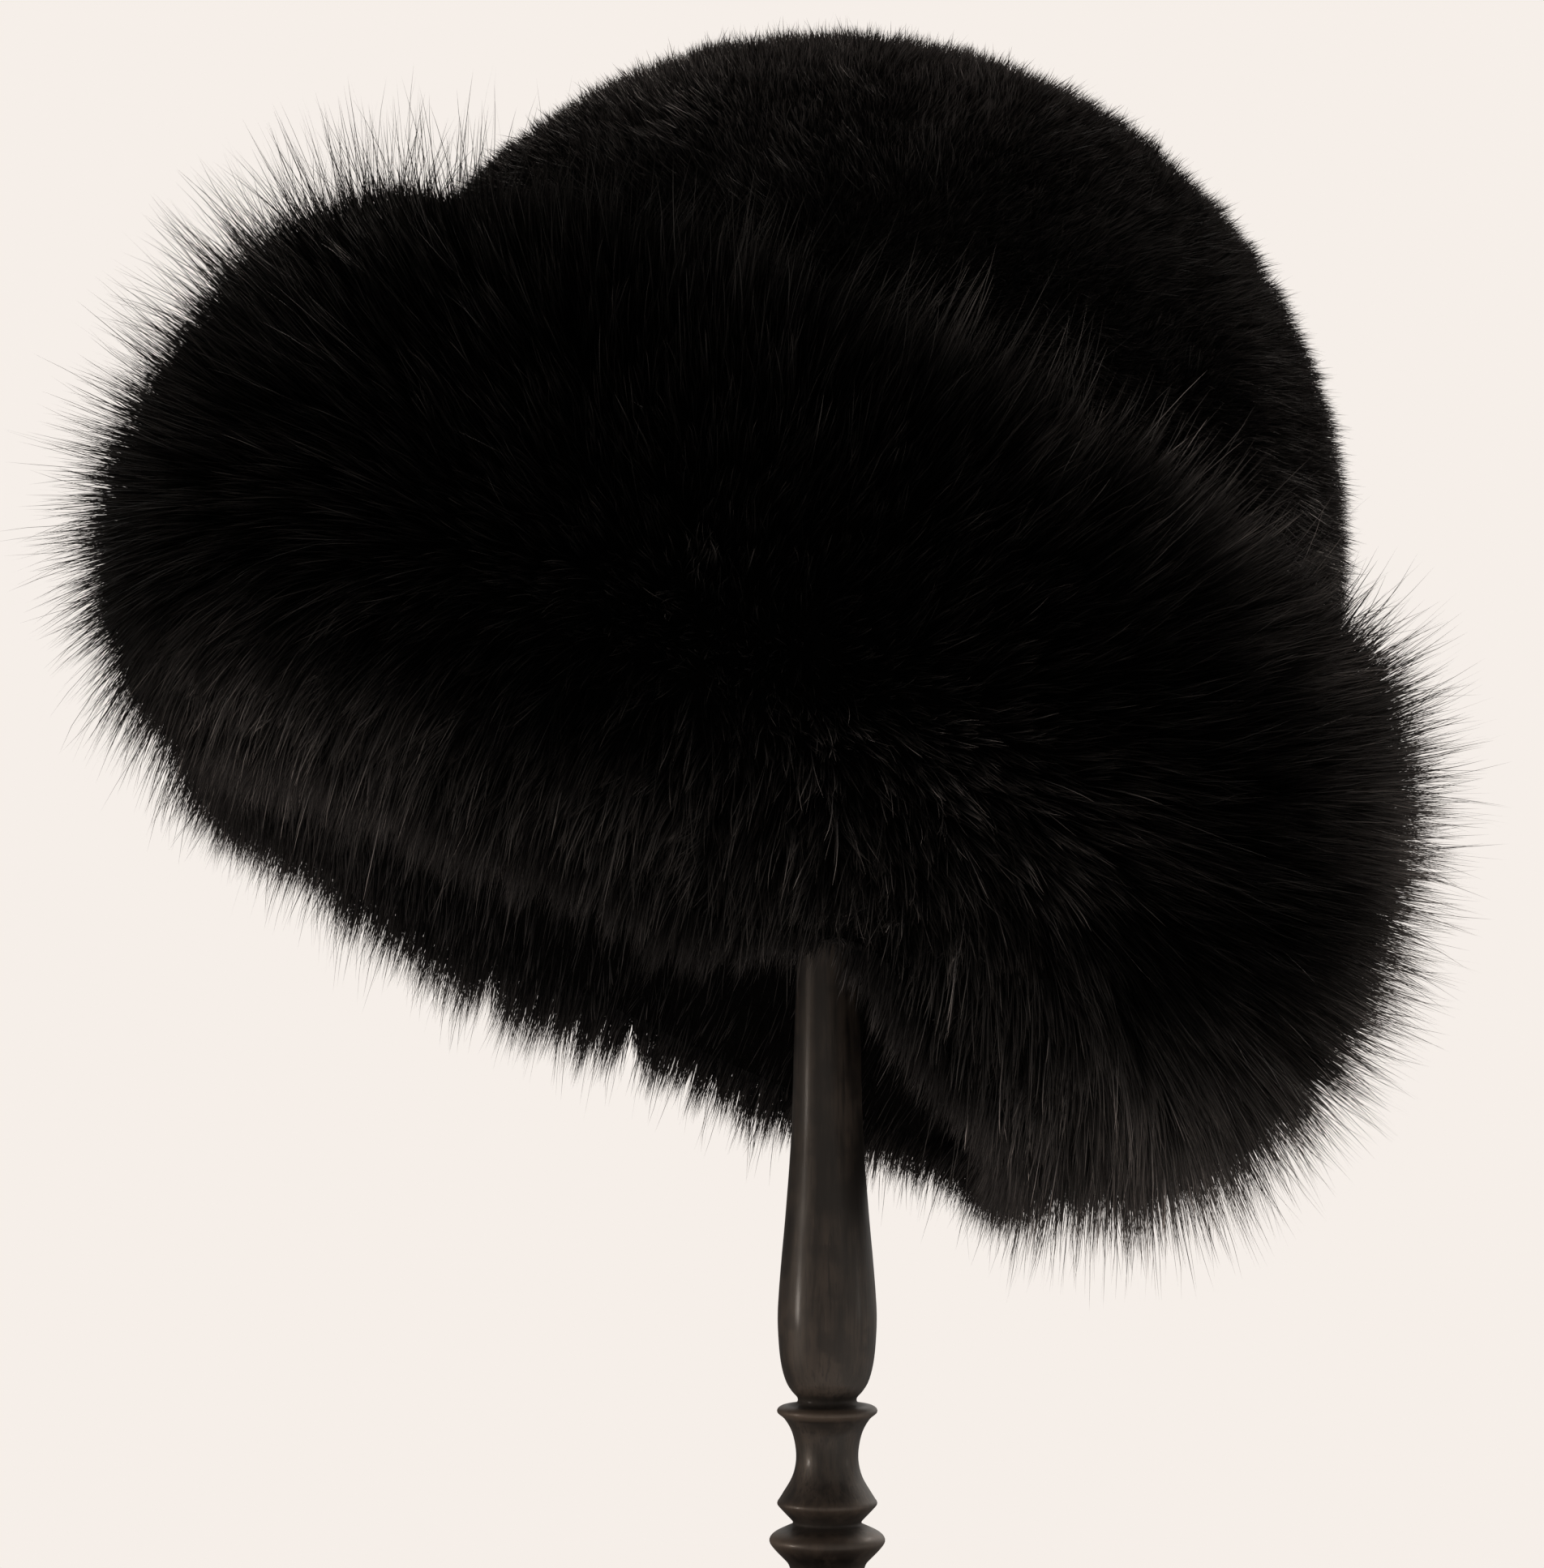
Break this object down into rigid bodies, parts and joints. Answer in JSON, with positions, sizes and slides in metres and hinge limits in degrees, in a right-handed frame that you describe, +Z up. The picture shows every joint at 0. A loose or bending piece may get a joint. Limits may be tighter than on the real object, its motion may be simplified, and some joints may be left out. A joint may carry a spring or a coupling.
{
  "type": "turkmen telpek fur hat on stand",
  "caption": "Fur hat with a round short-pile crown and a deep long-haired cuff, leaning on a turned wooden stand with a round foot.",
  "frame": {"origin": "centre of the underside of the stand's foot", "axes": "+Z up along the stand's shaft; the hat's crown leans towards +X, its back, and a little towards +Y, and its raised front is towards -X"},
  "size_m": [0.3084, 0.2894, 0.4005],
  "materials": {
    "crown_fur": "short dense black pile",
    "cuff_fur": "long black fur with a soft sheen",
    "stand_wood": "dark stained wood, satin"
  },
  "bodies": {
    "root": {"crown": "crown_fur", "cuff": "cuff_fur", "stand_foot": "stand_wood", "stand_spindle": "stand_wood", "stand_head": "stand_wood"}
  },
  "joints": []
}
